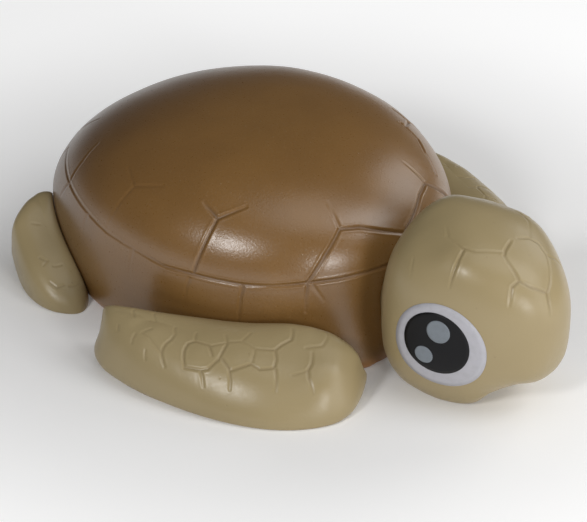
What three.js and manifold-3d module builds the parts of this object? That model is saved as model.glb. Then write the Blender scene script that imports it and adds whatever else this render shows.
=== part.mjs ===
// A squeezable foam sea turtle: a stress toy that fits in a palm.
// A soft foam core carries a painted carapace, a large blunt head and four swept-back flippers,
// and each eye is printed on the head in layers: white, pupil and two glints.
// Millimetres, +Z up. The nose points to -Y, the turtle's right is -X,
// and the origin is on the flat underside, on the middle plane.
import * as THREE from "three";
import { mergeVertices } from "three/addons/utils/BufferGeometryUtils.js";
import Module from "manifold-3d";

const wasm = await Module();
wasm.setup();

// Carapace: an egg-shaped dome, widest at its rim, that turns in below the rim to the flat base
const SHELL_WIDTH = 67.8;
const SHELL_FRONT = 39.2; // from the widest station to the front edge
const SHELL_REAR = 39.8; // from the widest station to the rear edge
const SHELL_STATION = 6.7; // how far the widest station lies behind the origin
const RIM_HEIGHT = 15.2;
const CROWN_RISE = 19.7; // from the rim up to the crown
const BASE_TURN_IN = 1.6; // how far the flank turns in between the rim and the base
const CROWN_LEAN = 2.9; // how far the crown lies ahead of the widest station
const FRONT_PLAN_SQUARENESS = 2.03; // 2 is an ellipse, and more is squarer
const REAR_PLAN_SQUARENESS = 2.28;
const DOME_SQUARENESS = 2.28;
const SKIN = 1.8; // thickness of the painted outer skin
const SEAT_GAP = 0.3; // between pieces that touch

// Scute seams pressed into the carapace
const SEAM_WIDTH = 1.6;
const SEAM_DEPTH = 0.7;
const FADED_DEPTH = 0.09; // where a seam runs out
const MARGIN_RISE = 3; // from the rim up to the seam above the marginal scutes, at the nose
const MARGIN_CLIMB = 5; // how much higher that seam runs at the tail
const MARGIN_DROP = 7; // from that seam down to where the short marginal seams fade
const JUNCTION_RISE = 12; // from the rim up to where three scutes meet
const ARM_RISE = 1.5; // how far the fading arms climb from there
const ARM_TURN = 9; // degrees that they run to each side
const MARGINAL_TURN = 18; // degrees around the carapace from one marginal seam to the next
const COSTAL_MARGINALS = [2, 4, 5.5, 7]; // marginals from the nose where a costal seam starts
const COSTAL_LEANS = [13, 8, 1, -3]; // degrees that each leans forward on its way up

// Head: a blunt rounded block, broader at the cheeks, that stands close in front of the carapace
const HEAD_WIDTH = 29.1;
const HEAD_LENGTH = 34.2;
const HEAD_AHEAD = 0.3; // how far its rear end lies ahead of the carapace's front edge
const HEAD_TAPER = 0.3; // share of the width lost from mid-length to the nose
const HEAD_CROWN = 33.7; // height of the top line at mid-length
const HEAD_CROWN_FALL = 3.7; // fall of the top line from mid-length to the nose
const HEAD_CHIN = -1.9; // height of the bottom line at mid-length, before the table plane cuts it
const HEAD_CHIN_RISE = 4.2; // rise of the bottom line from mid-length to the nose
const SNOUT_SWELL = 1.4; // how much the top line swells up again at the nose
const SNOUT_LIFT = 0.7; // how much more the bottom line lifts at the nose
const HEAD_SQUARENESS = 2.44;
const NOSE_SQUARENESS = 2.25;
const NAPE_SQUARENESS = 2.21;
const NECK_WIDTH = 23; // thickness of the short neck between head and carapace
const NECK_TALL = 25;
const NECK_REACH = 9; // how far the neck runs into the head and under the carapace

// Eye prints: thin round layers stacked in a shallow seat on each side of the head
const EYE_SETBACK = 15.5; // from the nose to the middle of the eye
const EYE_HEIGHT = 14.1;
const EYE_FACING = 9.7; // degrees that the eye looks forward
const WHITE_DIAMETER = 17.1;
const PUPIL_DIAMETER = 12.4;
const PUPIL_BACK = 0.5; // how far the pupil sits behind the middle of the white
const PUPIL_RISE = 0.6;
const LARGE_GLINT_DIAMETER = 4.4;
const LARGE_GLINT_AHEAD = 0.5; // ahead of the middle of the pupil
const LARGE_GLINT_RISE = 2.7; // above the middle of the pupil
const SMALL_GLINT_DIAMETER = 3.5;
const SMALL_GLINT_BACK = 2.2; // behind the middle of the pupil
const SMALL_GLINT_DROP = 2.8; // below the middle of the pupil
const PRINT_FILM = 0.3;
const PRINT_GAP = 0.15;

// Front flippers, swept back along the flanks
const FRONT_LENGTH = 51.1;
const FRONT_WIDTH = 15.8;
const FRONT_THICKNESS = 9.5;
const FRONT_TURN = 57.9; // degrees around the carapace from the nose
const FRONT_STANDOFF = 7; // from the rim to the flipper's middle line
const FRONT_SWEEP = 22.7; // degrees that the tip swings out from the body's length
const FRONT_TILT = 20.4; // degrees that the outer edge hangs below the root
const FRONT_TAPER = 0.37; // share of the width lost from mid-length to the tip
const FRONT_BOW = 5.4; // how far the ends curve towards the body
const FRONT_THICKENING = 0.2; // share of the thickness gained from mid-length to the tip
const FRONT_SQUARENESS = 2.25;
const FRONT_OUTER_END = 3.15; // squareness of the ends at the outer edge
const FRONT_INNER_END = 2.32; // and at the edge along the flank

// Rear flippers, short paddles behind the flanks
const REAR_LENGTH = 12.8;
const REAR_WIDTH = 36.9;
const REAR_THICKNESS = 14.2;
const REAR_TURN = 129.9;
const REAR_STANDOFF = 3.3;
const REAR_SWEEP = 61.6;
const REAR_TILT = 27.4;
const REAR_TAPER = 0.22;
const REAR_SQUARENESS = 2.8;
const REAR_OUTER_END = 2.62;
const REAR_INNER_END = 2.15;

// Both pairs of flippers
const ROOT_TUCK = 5; // how far a flipper's root reaches into the flank
const UNDERCUT = 0.6; // what the table plane takes off the underside of a flipper or the neck

// Facets of the round forms
const SHELL_SIDES = 56;
const SHELL_RINGS = 16;
const INNER_SIDES = 40;
const INNER_RINGS = 10;
const RINGS_BELOW_RIM = 0.25; // share of a dome's rings
const HEAD_SIDES = 40;
const HEAD_RINGS = 24;
const NECK_SIDES = 28;
const NECK_RINGS = 18;
const PRINT_SIDES = 24;
const FLIPPER_SIDES = 24;
const FLIPPER_RINGS = 16;
const SEAM_STEPS = 2;
const FACING_STEP = 0.05; // degrees, or millimetres, between points that give a slope

const fullTurn = 360;
const radians = 2 * Math.PI / fullTurn;

function power(value, exponent) {
  return Math.sign(value) * Math.pow(Math.abs(value), exponent);
}

// Height of a rounded cap: 1 at its middle and 0 at its ends
function cap(along, squareness) {
  return Math.pow(1 - Math.pow(Math.min(1, Math.abs(along)), squareness), 1 / squareness);
}

// Closed body through a stack of rings, with a point at each end
function loft(start, rings, end) {
  const sides = rings[0].length;
  const points = [start, ...rings.flat(), end];
  const last = points.length - 1;
  const faces = [];
  const at = (ring, side) => 1 + ring * sides + (side % sides);
  for (let side = 0; side < sides; side += 1) {
    faces.push(0, at(0, side + 1), at(0, side));
    faces.push(last, at(rings.length - 1, side), at(rings.length - 1, side + 1));
    for (let ring = 0; ring + 1 < rings.length; ring += 1) {
      faces.push(at(ring, side), at(ring, side + 1), at(ring + 1, side + 1));
      faces.push(at(ring, side), at(ring + 1, side + 1), at(ring + 1, side));
    }
  }
  const geometry = new THREE.BufferGeometry().setFromPoints(points);
  geometry.setIndex(faces);
  return geometry;
}

function solidOf(geometry) {
  const bare = geometry.clone();
  bare.deleteAttribute("normal");
  bare.deleteAttribute("uv");
  const merged = mergeVertices(bare);
  return new wasm.Manifold(new wasm.Mesh({
    numProp: 3,
    vertProperties: new Float32Array(merged.getAttribute("position").array),
    triVerts: new Uint32Array(merged.getIndex().array),
  }));
}

function geometryOf(solid) {
  const mesh = solid.getMesh();
  const geometry = new THREE.BufferGeometry();
  geometry.setAttribute("position", new THREE.BufferAttribute(mesh.vertProperties, 3));
  geometry.setIndex(new THREE.BufferAttribute(mesh.triVerts, 1));
  return geometry;
}

const turtle = new THREE.Group();

function place(name, geometry, material) {
  const mesh = new THREE.Mesh(geometry, material);
  mesh.name = name;
  turtle.add(mesh);
  return mesh;
}

// A piece of the right side and its mirrored twin on the left
function placePair(nameFor, geometry, material) {
  place(nameFor("right"), geometry, material);
  place(nameFor("left"), geometry, material).scale.x = -1;
}

// Everything above the table plane, in a block that is larger than the toy
const blockSize = 2 * (SHELL_WIDTH + SHELL_FRONT + SHELL_REAR + HEAD_LENGTH);
const aboveTable = solidOf(new THREE.BoxGeometry(blockSize, blockSize, blockSize)
  .translate(0, 0, blockSize / 2));

// Carapace and foam core
const rimBeside = SHELL_WIDTH / 2;
const curlDepth = RIM_HEIGHT / cap(1 - BASE_TURN_IN / rimBeside, DOME_SQUARENESS);

// A point on the dome, at an angle in degrees around it from the nose and a height above the base
function shellAt(turn, height, grow = 0) {
  const rise = height - RIM_HEIGHT;
  const climb = rise / (rise > 0 ? CROWN_RISE + grow : curlDepth);
  const share = cap(climb, DOME_SQUARENESS);
  const along = -Math.cos(turn * radians);
  const length = (along < 0 ? SHELL_FRONT : SHELL_REAR) + grow;
  const easing = 2 / (along < 0 ? FRONT_PLAN_SQUARENESS : REAR_PLAN_SQUARENESS);
  const station = SHELL_STATION - CROWN_LEAN * Math.pow(Math.max(climb, 0), 2);
  return new THREE.Vector3(
    -(rimBeside + grow) * share * power(Math.sin(turn * radians), easing),
    station + length * share * power(along, easing),
    height,
  );
}

// The direction that the dome faces there
function shellFacing(turn, height) {
  const around = shellAt(turn + FACING_STEP, height).sub(shellAt(turn - FACING_STEP, height));
  const up = shellAt(turn, height + FACING_STEP).sub(shellAt(turn, height - FACING_STEP));
  return up.cross(around).normalize();
}

function shellForm(grow, floor, sides, rings) {
  const lowRings = Math.round(rings * RINGS_BELOW_RIM);
  const highRings = rings - lowRings;
  const heights = [];
  for (let step = 0; step < lowRings; step += 1) {
    heights.push(floor + (RIM_HEIGHT - floor) * step / lowRings);
  }
  for (let step = 0; step < highRings; step += 1) {
    const lift = Math.sin(step / highRings * Math.PI / 2);
    heights.push(RIM_HEIGHT + (CROWN_RISE + grow) * Math.pow(lift, 2 / DOME_SQUARENESS));
  }
  const stack = heights.map((height) => Array.from(
    { length: sides },
    (_, side) => shellAt(-fullTurn * side / sides, height, grow),
  ));
  const base = new THREE.Vector3(0, SHELL_STATION, floor);
  const crown = new THREE.Vector3(0, SHELL_STATION - CROWN_LEAN, RIM_HEIGHT + CROWN_RISE + grow);
  return solidOf(loft(base, stack, crown));
}

// A seam is a V-shaped stroke from one place on the dome to another, with its depth at each end
function seamCut(from, to) {
  const rings = [];
  for (let step = 0; step <= SEAM_STEPS; step += 1) {
    const share = step / SEAM_STEPS;
    const turn = from.turn + (to.turn - from.turn) * share;
    const height = from.height + (to.height - from.height) * share;
    const depth = from.depth + (to.depth - from.depth) * share;
    const outward = shellFacing(turn, height);
    const onward = shellAt(to.turn, to.height).sub(shellAt(from.turn, from.height));
    const across = new THREE.Vector3().crossVectors(outward, onward).normalize();
    const overlap = (share - 0.5) * SEAM_WIDTH;
    const middle = shellAt(turn, height).addScaledVector(onward.normalize(), overlap);
    const lip = SEAM_WIDTH / 2 * (depth + SEAM_DEPTH) / SEAM_DEPTH;
    const edge = middle.clone().addScaledVector(outward, SEAM_DEPTH);
    rings.push([
      edge.clone().addScaledVector(across, lip),
      edge.clone().addScaledVector(across, -lip),
      middle.clone().addScaledVector(outward, -depth),
    ]);
  }
  const middleOf = (ring) => ring[0].clone().add(ring[1]).add(ring[2]).divideScalar(3);
  return solidOf(loft(middleOf(rings[0]), rings, middleOf(rings[SEAM_STEPS])));
}

// The seam above the marginal scutes runs all round and climbs towards the tail,
// and a short seam fades out below it at each marginal.
// A costal seam climbs from it to a junction, where two arms fade out towards the smooth top.
function onMargin(turn) {
  const towardsTail = (1 - Math.cos(turn * radians)) / 2;
  const height = RIM_HEIGHT + MARGIN_RISE + MARGIN_CLIMB * towardsTail * towardsTail;
  return { turn, height, depth: SEAM_DEPTH };
}

const seams = [];
for (let turn = 0; turn < fullTurn; turn += MARGINAL_TURN) {
  const head = onMargin(turn);
  const foot = { turn, height: head.height - MARGIN_DROP, depth: FADED_DEPTH };
  seams.push(seamCut(head, onMargin(turn + MARGINAL_TURN)));
  seams.push(seamCut(head, foot));
}
for (const side of [1, -1]) {
  COSTAL_MARGINALS.forEach((marginal, costal) => {
    const foot = onMargin(side * marginal * MARGINAL_TURN);
    const turn = foot.turn - side * COSTAL_LEANS[costal];
    const junction = { turn, height: RIM_HEIGHT + JUNCTION_RISE, depth: SEAM_DEPTH };
    seams.push(seamCut(foot, junction));
    for (const arm of [ARM_TURN, -ARM_TURN]) {
      const tip = { turn: turn + arm, height: junction.height + ARM_RISE, depth: FADED_DEPTH };
      seams.push(seamCut(junction, tip));
    }
  });
}

const carapace = seams.reduce(
  (shell, seam) => shell.subtract(seam),
  shellForm(0, 0, SHELL_SIDES, SHELL_RINGS).subtract(shellForm(-SKIN, -SKIN, INNER_SIDES, INNER_RINGS)),
);
const seatCut = shellForm(SEAT_GAP, -SKIN, SHELL_SIDES, SHELL_RINGS);

place("carapace", geometryOf(carapace), new THREE.MeshStandardMaterial({
  color: 0x72583a, roughness: 0.42, metalness: 0,
}));

const foam = new THREE.MeshStandardMaterial({ color: 0xa89a70, roughness: 0.5, metalness: 0 });
place("foam_core", geometryOf(shellForm(-SKIN - SEAT_GAP, 0, INNER_SIDES, INNER_RINGS)), foam);

// Head
const noseY = SHELL_STATION - SHELL_FRONT - HEAD_AHEAD - HEAD_LENGTH;
const headMiddle = noseY + HEAD_LENGTH / 2;

// The section at a share of the length, -1 at the rear and 1 at the nose
function headSection(along, grow) {
  const swell = cap(along, along > 0 ? NOSE_SQUARENESS : NAPE_SQUARENESS);
  const ahead = Math.pow(Math.max(along, 0), 2);
  const top = HEAD_CROWN - HEAD_CROWN_FALL * along + SNOUT_SWELL * ahead;
  const bottom = HEAD_CHIN + HEAD_CHIN_RISE * along + SNOUT_LIFT * ahead;
  return {
    middle: (top + bottom) / 2,
    wide: (HEAD_WIDTH / 2 * (1 - HEAD_TAPER * along) + grow) * swell,
    high: ((top - bottom) / 2 + grow) * swell,
    y: headMiddle - along * (HEAD_LENGTH / 2 + grow),
  };
}

function headForm(grow) {
  const stack = [];
  for (let ring = 1; ring < HEAD_RINGS; ring += 1) {
    const section = headSection(-Math.cos(ring / HEAD_RINGS * Math.PI), grow);
    stack.push(Array.from({ length: HEAD_SIDES }, (_, side) => {
      const around = side / HEAD_SIDES * 2 * Math.PI;
      return new THREE.Vector3(
        section.wide * power(Math.cos(around), 2 / HEAD_SQUARENESS),
        section.y,
        section.middle + section.high * power(Math.sin(around), 2 / HEAD_SQUARENESS),
      );
    }));
  }
  const end = (along) => {
    const section = headSection(along, grow);
    return new THREE.Vector3(0, section.y, section.middle);
  };
  return solidOf(loft(end(-1), stack, end(1)));
}

// Eyes
// A round column through the side of the head, along the way that the eye looks.
// Its middle can be shifted on the eye's face, towards the rear and up.
const eyeSection = headSection((headMiddle - noseY - EYE_SETBACK) / (HEAD_LENGTH / 2), 0);
const eyeBeside = eyeSection.wide
  * cap((EYE_HEIGHT - eyeSection.middle) / eyeSection.high, HEAD_SQUARENESS);

function eyeColumn(side, diameter, back = 0, up = 0) {
  const length = HEAD_WIDTH / 2;
  const column = new THREE.CylinderGeometry(diameter / 2, diameter / 2, length, PRINT_SIDES)
    .rotateZ(Math.PI / 2)
    .translate(0, back, up)
    .rotateZ(-side * EYE_FACING * radians)
    .translate(side * eyeBeside, noseY + EYE_SETBACK, EYE_HEIGHT);
  return solidOf(column);
}

// A print layer lies between two offsets from the head's surface
function printLayer(level, diameter, back, up) {
  const under = level * (PRINT_FILM + PRINT_GAP) - PRINT_FILM / 2;
  return headForm(under + PRINT_FILM).subtract(headForm(under))
    .intersect(eyeColumn(-1, diameter, back, up));
}

const seatDiameter = WHITE_DIAMETER + 2 * PRINT_GAP;
const eyeSeats = headForm(HEAD_WIDTH).subtract(headForm(-PRINT_FILM / 2 - PRINT_GAP))
  .intersect(eyeColumn(1, seatDiameter).add(eyeColumn(-1, seatDiameter)));
const neck = solidOf(new THREE.SphereGeometry(1, NECK_SIDES, NECK_RINGS)
  .scale(NECK_WIDTH / 2, NECK_REACH, NECK_TALL / 2)
  .translate(0, SHELL_STATION - SHELL_FRONT, NECK_TALL / 2 - UNDERCUT));
const head = headForm(0).add(neck).intersect(aboveTable).subtract(seatCut).subtract(eyeSeats);
place("head", geometryOf(head), foam);

const ink = (color) => new THREE.MeshStandardMaterial({ color, roughness: 0.35, metalness: 0 });
placePair((side) => `${side}_eye_white`, geometryOf(printLayer(0, WHITE_DIAMETER, 0, 0)), ink(0xd6d4d6));
placePair((side) => `${side}_pupil`, geometryOf(printLayer(1, PUPIL_DIAMETER, PUPIL_BACK, PUPIL_RISE)),
  ink(0x242326));
const glint = ink(0x7b838c);
placePair((side) => `${side}_large_glint`, geometryOf(printLayer(2, LARGE_GLINT_DIAMETER,
  PUPIL_BACK - LARGE_GLINT_AHEAD, PUPIL_RISE + LARGE_GLINT_RISE)), glint);
placePair((side) => `${side}_small_glint`, geometryOf(printLayer(2, SMALL_GLINT_DIAMETER,
  PUPIL_BACK + SMALL_GLINT_BACK, PUPIL_RISE - SMALL_GLINT_DROP)), glint);

// Flippers on the turtle's right, and mirrored on its left
// A flipper is a flattened, tapering swelling whose inner half reaches into the flank.
function flipperForm(flipper) {
  const rim = shellAt(flipper.turn, RIM_HEIGHT);
  const outward = shellFacing(flipper.turn, RIM_HEIGHT).setZ(0).normalize();
  const middle = rim.addScaledVector(outward, flipper.standoff);
  const settle = new THREE.Matrix4()
    .makeTranslation(middle.x, middle.y, flipper.thickness / 2 - UNDERCUT)
    .multiply(new THREE.Matrix4().makeRotationZ(flipper.sweep * radians));
  const tilt = new THREE.Matrix4().makeRotationY(-flipper.tilt * radians);
  const pointAt = (along, around) => {
    const inward = (1 + Math.cos(around)) / 2;
    const swell = cap(along, flipper.outerEnd + (flipper.innerEnd - flipper.outerEnd) * inward);
    const wide = Math.cos(around) > 0 ? flipper.standoff + ROOT_TUCK : flipper.width / 2;
    const high = flipper.thickness / 2 * (1 + flipper.thickening * along);
    const point = new THREE.Vector3(
      wide * swell * (1 - flipper.taper * along) * power(Math.cos(around), 2 / flipper.squareness),
      flipper.length / 2 * along,
      high * swell * power(Math.sin(around), 2 / flipper.squareness),
    ).applyMatrix4(tilt);
    point.x += flipper.bow * (along * along - 0.5);
    return point.applyMatrix4(settle);
  };
  const stack = [];
  for (let ring = 1; ring < FLIPPER_RINGS; ring += 1) {
    const along = -Math.cos(ring / FLIPPER_RINGS * Math.PI);
    stack.push(Array.from(
      { length: FLIPPER_SIDES },
      (_, side) => pointAt(along, -side / FLIPPER_SIDES * 2 * Math.PI),
    ));
  }
  return solidOf(loft(pointAt(-1, 0), stack, pointAt(1, 0)));
}

const frontFlipper = {
  length: FRONT_LENGTH,
  width: FRONT_WIDTH,
  thickness: FRONT_THICKNESS,
  turn: FRONT_TURN,
  standoff: FRONT_STANDOFF,
  sweep: FRONT_SWEEP,
  tilt: FRONT_TILT,
  taper: FRONT_TAPER,
  thickening: FRONT_THICKENING,
  bow: FRONT_BOW,
  squareness: FRONT_SQUARENESS,
  outerEnd: FRONT_OUTER_END,
  innerEnd: FRONT_INNER_END,
};
const rearFlipper = {
  length: REAR_LENGTH,
  width: REAR_WIDTH,
  thickness: REAR_THICKNESS,
  turn: REAR_TURN,
  standoff: REAR_STANDOFF,
  sweep: REAR_SWEEP,
  tilt: REAR_TILT,
  taper: REAR_TAPER,
  thickening: 0,
  bow: 0,
  squareness: REAR_SQUARENESS,
  outerEnd: REAR_OUTER_END,
  innerEnd: REAR_INNER_END,
};
const headCut = headForm(SEAT_GAP);
for (const [end, flipper] of [["front", frontFlipper], ["rear", rearFlipper]]) {
  const solid = flipperForm(flipper).intersect(aboveTable).subtract(seatCut).subtract(headCut);
  placePair((side) => `${end}_${side}_flipper`, geometryOf(solid), foam);
}

export default turtle;
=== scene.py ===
import math

import bpy
import numpy as np
from mathutils import Matrix, Vector


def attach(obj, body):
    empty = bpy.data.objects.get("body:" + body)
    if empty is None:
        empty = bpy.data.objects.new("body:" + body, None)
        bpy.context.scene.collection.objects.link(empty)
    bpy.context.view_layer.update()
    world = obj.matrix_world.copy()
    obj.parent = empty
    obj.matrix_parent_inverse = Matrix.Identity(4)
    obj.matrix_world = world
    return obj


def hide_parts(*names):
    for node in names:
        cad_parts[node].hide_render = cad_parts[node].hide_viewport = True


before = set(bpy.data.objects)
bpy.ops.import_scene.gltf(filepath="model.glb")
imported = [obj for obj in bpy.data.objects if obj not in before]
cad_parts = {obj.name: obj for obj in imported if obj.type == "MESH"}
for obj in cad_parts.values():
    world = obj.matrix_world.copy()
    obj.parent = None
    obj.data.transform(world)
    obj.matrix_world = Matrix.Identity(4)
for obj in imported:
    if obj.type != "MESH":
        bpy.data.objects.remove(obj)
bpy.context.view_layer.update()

bpy.ops.object.select_all(action="DESELECT")


# Carapace
# The back of the turtle is the outer skin of the foam casting, with scute seams that the mould presses in.
# It is sprayed with a satin brown coat, which turns lighter and more orange at the base edge; painted shade
# darkens it in the seams and towards the rear.
SHELL_WIDTH = 0.0678
SHELL_FRONT = 0.0392
SHELL_REAR = 0.0398
SHELL_STATION = 0.0067
RIM_HEIGHT = 0.0152
CROWN_RISE = 0.0197
BASE_TURN_IN = 0.0016
BASE_EDGE_RADIUS = 0.0009
CROWN_LEAN = 0.0029
FRONT_PLAN_SQUARENESS = 2.03
REAR_PLAN_SQUARENESS = 2.28
DOME_SQUARENESS = 2.28
SKIN = 0.0018
FLARE = 0.0045
FLARE_TURN = 17
FLARE_SPREAD = 15
FLARE_HEIGHT = 0.017
HAUNCH = 0.0011
HAUNCH_TURN = 144
HAUNCH_SPREAD = 18
HAUNCH_HEIGHT = 0.0145
HAUNCH_TALL = 0.007
SHELL_CUTS = 89
INSIDE_CUTS = 29
SEAM_WIDTH = 0.00032
SEAM_DEPTH = 0.00034
LIP_SHARE = 0.2
LIP_APART = 1.9
LIP_SPREAD = 0.5
LIP_CLEARANCE = 3
STROKE_STEPS = 10
STROKE_REACH = 0.0008
STROKE_EDGE = 0.02
STROKE_CUTS = 2
STROKE_MARGIN = 4
SMOOTH_BELOW = math.radians(50)
TINY = 1e-6

# A place on a piece is a turn from the nose towards the turtle's right and a rise from its middle, in
# degrees. A stroke passes through places, with its strength at each. Strokes are drawn on the right
# side and mirrored, apart from a few that only one side has.
MARGIN_SEAM = [
    (0, 10.5, 0.7), (13, 10.6, 0.7), (26, 10, 0.8), (35, 9.7, 0.9), (45, 8.4, 0.35), (53, 7.8, 0.8),
    (68, 8.9, 0.9), (77, 8.7, 0.5), (86, 11, 0.25), (99, 12.4, 0.35), (108, 15.2, 0.35), (123, 18.9, 0.4),
    (135, 21, 0.2), (150, 22, 0.15), (180, 22.5, 0.2),
]
SCUTE_SEAMS = [
    [(68, 9, 0.9), (64.5, 37, 1)],
    [(64.5, 37, 1), (71, 42, 0.2)],
    [(64.5, 37, 1), (56, 43.5, 0.3)],
    [(69, 6, 0.5), (71, -5, 0.1)],
    [(53.5, 8, 0.8), (55, -7.5, 0.3)],
    [(35.5, 9.7, 1), (36, -3.5, 0.3)],
    [(34, 8.5, 0.5), (31, -0.5, 0.1)],
    [(35.5, 9.7, 1), (29.7, 23, 1), (23.2, 33.5, 0.9)],
    [(23.2, 33.5, 1), (16, 32.4, 1), (7.4, 27.4, 0.9), (0, 22.5, 0.6)],
    [(23.2, 33.5, 0.5), (24.3, 45, 0.1)],
    [(123, 19, 0.5), (125, 29.5, 0.35), (129, 38, 0.2)],
    [(123, 19, 0.5), (125, 9.5, 0.2)],
    [(99, 12.4, 0.1), (97.5, 37.5, 0.3)],
    [(97.5, 37.5, 0.35), (106, 41.5, 0.2)],
    [(97.5, 37.5, 0.35), (88.5, 42.5, 0.2)],
    [(88, 11.2, 0.3), (89.5, -4, 0.05)],
    [(108, 15, 0.3), (110, -1, 0.05)],
    [(142, 21.5, 0.4), (144, 5, 0.1)],
    [(161, 22.3, 0.4), (162, 6, 0.1)],
    [(153, 22, 0.5), (150, 36, 0.2)],
    [(180, 22.5, 0.4), (180, 6, 0.1)],
]
CROWN_SWELL = [(112, 42, 0.9), (100, 42, 1), (85, 41, 0.8)]
CROWN_SWELL_WIDTH = 0.012
CROWN_SWELL_HEIGHT = 0.0011
FAR_SIDE_SEAM = [(-58, 45, 0.6), (-50, 39, 0.7), (-42, 37, 0.5), (-34, 30, 0.7)]


def cap(along, squareness):
    """Height of a rounded cap: 1 at its middle and 0 at its ends."""
    return (1 - np.minimum(1, np.abs(along)) ** squareness) ** (1 / squareness)


CURL_DEPTH = RIM_HEIGHT / cap(1 - BASE_TURN_IN / (SHELL_WIDTH / 2), DOME_SQUARENESS)


def stand_out(flat, height):
    """How far the dome stands out at its foot, between head and front flipper, and over a rear flipper."""
    turn = np.degrees(np.arctan2(np.abs(flat[:, 0]), -flat[:, 1]))
    low = np.clip(1 - height / FLARE_HEIGHT, 0, 1)
    foot = FLARE * np.exp(-((turn - FLARE_TURN) / FLARE_SPREAD) ** 2) * low ** 2
    aside = ((turn - HAUNCH_TURN) / HAUNCH_SPREAD) ** 2 + ((height - HAUNCH_HEIGHT) / HAUNCH_TALL) ** 2
    return foot + HAUNCH * np.exp(-aside)


def dome_form(ways, grow=0):
    """Points of the dome in the ways given from its middle, on a skin that is grown outwards."""
    along, across, rise = ways[:, 1], ways[:, 0], ways[:, 2]
    length = np.where(along < 0, SHELL_FRONT, SHELL_REAR) + grow
    height = np.where(rise > 0, CROWN_RISE + grow, CURL_DEPTH)
    squareness = np.where(along < 0, FRONT_PLAN_SQUARENESS, REAR_PLAN_SQUARENESS)
    plan = (np.abs(across) ** squareness + np.abs(along) ** squareness) ** (1 / squareness)
    reach = (plan ** DOME_SQUARENESS + np.abs(rise) ** DOME_SQUARENESS) ** (1 / DOME_SQUARENESS)
    flat = np.stack([across * (SHELL_WIDTH / 2 + grow), along * length], axis=1) / reach[:, None]
    tall = RIM_HEIGHT + rise * height / reach
    out = 1 + stand_out(flat, tall) / np.maximum(np.linalg.norm(flat, axis=1), TINY)
    lean = CROWN_LEAN * np.maximum(rise / reach, 0) ** 2
    return np.stack([flat[:, 0] * out, SHELL_STATION + flat[:, 1] * out - lean, tall], axis=1)


def foam_ball(name, cuts):
    """A round lump of foam with an even grid of faces, to be pressed to its form."""
    bpy.ops.object.select_all(action="DESELECT")
    bpy.ops.mesh.primitive_cube_add(size=2)
    ball = bpy.context.object
    ball.name = name
    bpy.ops.object.mode_set(mode="EDIT")
    bpy.ops.mesh.select_all(action="SELECT")
    bpy.ops.mesh.subdivide(number_cuts=cuts)
    bpy.ops.object.mode_set(mode="OBJECT")
    bpy.ops.object.shade_smooth()
    corners = np.tan(read_points(ball) * math.pi / 4)
    return ball, corners / np.linalg.norm(corners, axis=1, keepdims=True)


def read_points(piece, kind="co"):
    values = np.empty(len(piece.data.vertices) * 3)
    piece.data.vertices.foreach_get(kind, values)
    return values.reshape(-1, 3)


def press_points(piece, points):
    piece.data.vertices.foreach_set("co", points.ravel())
    piece.data.update()


def keep_shares(piece, name, shares):
    """Keeps a number for each point of the piece, for its material to read."""
    piece.data.attributes.new(name, "FLOAT", "POINT").data.foreach_set("value", shares)


def mirrored(strokes):
    """The strokes of the turtle's right side, and again on its left."""
    return strokes + [[(-turn, rise, strength) for turn, rise, strength in stroke] for stroke in strokes]


def stroke_path(form, stroke):
    """Closely spaced points along a stroke on a form, with the strength at each."""
    turn, rise, strength = np.array(stroke, dtype=float).T
    turn, rise = np.radians(turn), np.radians(rise)
    ways = [-np.sin(turn) * np.cos(rise), -np.cos(turn) * np.cos(rise), np.sin(rise)]
    steps = np.linspace(0, len(stroke) - 1, (len(stroke) - 1) * STROKE_STEPS + 1)
    eased = np.stack([np.interp(steps, np.arange(len(stroke)), way) for way in ways], axis=1)
    path = form(eased / np.linalg.norm(eased, axis=1, keepdims=True))
    return path, np.interp(steps, np.arange(len(stroke)), strength)


def stroke_shares(points, form, strokes, width):
    """How far each point lies in a stroke, 1 at its bottom, and in the lips beside it."""
    groove = np.zeros(len(points))
    lip = np.zeros(len(points))
    for stroke in strokes:
        path, strength = stroke_path(form, stroke)
        reach = np.ptp(path, axis=0).max() + STROKE_MARGIN * width
        near = np.linalg.norm(points - path.mean(axis=0), axis=1) < reach
        for first, second, share in zip(path, path[1:], strength):
            run = second - first
            at = np.clip((points[near] - first) @ run / (run @ run), 0, 1)
            apart = np.linalg.norm(points[near] - first - at[:, None] * run, axis=1) / width
            groove[near] = np.maximum(groove[near], share * np.exp(-apart ** 2))
            lip[near] = np.maximum(lip[near], share * np.exp(-(apart - LIP_APART) ** 2 / LIP_SPREAD))
    return groove, lip * np.clip(1 - LIP_CLEARANCE * groove, 0, 1)


def swell_broad(piece, form, strokes, width, swell):
    """Swells broad soft stretches of the piece outwards, or hollows them where the swell is below 0."""
    points = read_points(piece)
    share, _ = stroke_shares(points, form, strokes, width)
    outward = points - (points.max(axis=0) + points.min(axis=0)) / 2
    outward = outward / np.maximum(np.linalg.norm(outward, axis=1), TINY)[:, None]
    press_points(piece, points + outward * (swell * share)[:, None])


def push_broad(piece, form, strokes, width, push):
    """Pushes broad soft stretches of the piece one way."""
    points = read_points(piece)
    share, _ = stroke_shares(points, form, strokes, width)
    press_points(piece, points + np.outer(share, push))


def refine(piece, form, strokes, reach, cuts):
    """Splits the faces near strokes, so that a narrow groove keeps its form."""
    near, _ = stroke_shares(read_points(piece), form, strokes, reach)
    bpy.ops.object.mode_set(mode="EDIT")
    bpy.ops.mesh.select_mode(type="VERT")
    bpy.ops.mesh.select_all(action="DESELECT")
    bpy.ops.object.mode_set(mode="OBJECT")
    piece.data.vertices.foreach_set("select", near > STROKE_EDGE)
    bpy.ops.object.mode_set(mode="EDIT")
    bpy.ops.mesh.subdivide(number_cuts=cuts)
    bpy.ops.object.mode_set(mode="OBJECT")


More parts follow.
